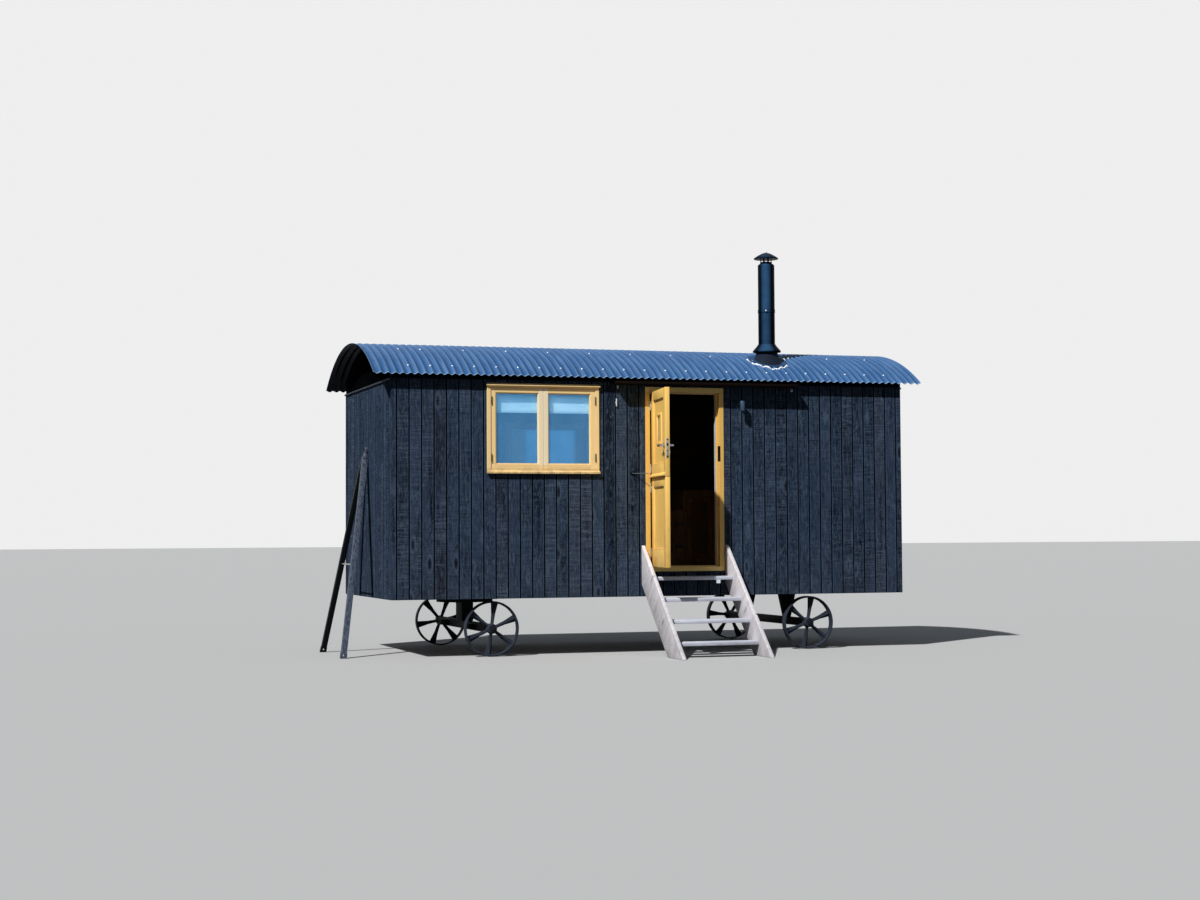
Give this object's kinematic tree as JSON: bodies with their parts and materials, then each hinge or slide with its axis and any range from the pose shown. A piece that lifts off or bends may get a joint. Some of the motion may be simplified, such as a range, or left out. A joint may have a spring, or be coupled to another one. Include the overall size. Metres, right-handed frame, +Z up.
{
  "type": "shepherds hut",
  "caption": "Timber shepherds hut with a curved corrugated roof, a stable door, a casement window, a flue, steps, cast spoked wheels and a leaning drawbar.",
  "frame": {"origin": "middle of the whole footprint at ground level, with the steps and the leaning drawbar counted in", "axes": "+X along the hut towards the flue end, +Y from the door side to the back, +Z up"},
  "size_m": [6.261, 3.7632, 4.278],
  "materials": {
    "black_boards": "black-stained sawn softwood boards, matte",
    "black_trim": "black-stained planed softwood",
    "floor_wood": "oiled boards",
    "ceiling_wood": "planed softwood lining",
    "chassis_paint": "black chassis paint, satin",
    "cast_iron": "black-painted casting, worn at the rims",
    "roof_paint": "blue-grey coated steel, satin",
    "flue_paint": "black stove paint, satin",
    "boot_rubber": "black rubber",
    "door_paint": "painted joinery, golden yellow, satin",
    "window_paint": "painted joinery, pale yellow, satin",
    "window_glass": "clear float glass",
    "hinge_steel": "zinc-plated steel",
    "hinge_brass": "dull brass",
    "handle_metal": "satin chrome",
    "hook_iron": "black japanned iron",
    "blind_bar": "white-coated tube",
    "blind_cloth": "plain white blind cloth",
    "lamp_metal": "brushed steel",
    "hood_wood": "dark-stained board",
    "step_wood": "weathered pale softwood",
    "drawbar_paint": "black paint, satin, scuffed",
    "cupboard_wood": "oiled timber"
  },
  "bodies": {
    "cabin": {"front_wall_left": "black_boards", "front_wall_right": "black_boards", "front_wall_at_door": "black_boards", "back_wall": "black_boards", "left_end_wall": "black_boards", "right_end_wall": "black_boards", "gable_arches": "black_boards", "gable_drip_rails": "black_trim", "floor": "floor_wood", "chassis_rails": "chassis_paint", "chassis_crossmembers": "chassis_paint", "fore_axle": "chassis_paint", "turntable": "chassis_paint", "rear_axle": "chassis_paint", "roof_sheet_1": "roof_paint", "roof_sheet_2": "roof_paint", "roof_sheet_3": "roof_paint", "roof_sheet_4": "roof_paint", "roof_sheet_5": "roof_paint", "roof_sheet_6": "roof_paint", "roof_deck": "ceiling_wood", "eaves_boards": "black_trim", "flue_pipe": "flue_paint", "flue_cowl": "flue_paint", "flue_collar": "flue_paint", "flue_boot": "boot_rubber", "door_frame": "door_paint", "door_hinges": "hinge_steel", "cabin_hook": "hook_iron", "window_frame": "window_paint", "window_casements": "window_paint", "window_hinges": "hinge_brass", "window_glass": "window_glass", "blind_roller": "blind_bar", "window_blind": "blind_cloth", "back_window": "window_paint", "back_window_glass": "window_glass", "wall_lamp": "lamp_metal", "door_hood": "hood_wood", "step_stringers": "step_wood", "step_treads": "step_wood", "drawbar_legs": "drawbar_paint", "drawbar_head": "drawbar_paint", "drawbar_tie": "hinge_steel", "cupboard": "cupboard_wood"},
    "upper_door": {"door_upper": "door_paint", "door_upper_glass": "window_glass", "door_upper_hinges": "hinge_steel", "door_handle": "handle_metal"},
    "lower_door": {"door_lower": "door_paint", "door_lower_hinges": "hinge_steel"},
    "wheel_fore_near": {"wheel_fore_near": "cast_iron"},
    "wheel_fore_far": {"wheel_fore_far": "cast_iron"},
    "wheel_rear_near": {"wheel_rear_near": "cast_iron"},
    "wheel_rear_far": {"wheel_rear_far": "cast_iron"}
  },
  "joints": [
    {"name": "upper_door_hinge", "type": "hinge", "parent": "cabin", "child": "upper_door", "pos_m": [0.04557, -0.68362, 2.259], "axis": [0, 0, 1], "range_deg": [0, 99]},
    {"name": "lower_door_hinge", "type": "hinge", "parent": "cabin", "child": "lower_door", "pos_m": [0.04557, -0.68362, 1.3475], "axis": [0, 0, 1], "range_deg": [0, 99]},
    {"name": "wheel_fore_near_spin", "type": "hinge", "parent": "cabin", "child": "wheel_fore_near", "pos_m": [-1.63543, -0.56362, 0.28], "axis": [0, 1, 0], "continuous": true},
    {"name": "wheel_fore_far_spin", "type": "hinge", "parent": "cabin", "child": "wheel_fore_far", "pos_m": [-1.63543, 1.67638, 0.28], "axis": [0, 1, 0], "continuous": true},
    {"name": "wheel_rear_near_spin", "type": "hinge", "parent": "cabin", "child": "wheel_rear_near", "pos_m": [1.85457, -0.56362, 0.28], "axis": [0, 1, 0], "continuous": true},
    {"name": "wheel_rear_far_spin", "type": "hinge", "parent": "cabin", "child": "wheel_rear_far", "pos_m": [1.85457, 1.67638, 0.28], "axis": [0, 1, 0], "continuous": true}
  ]
}
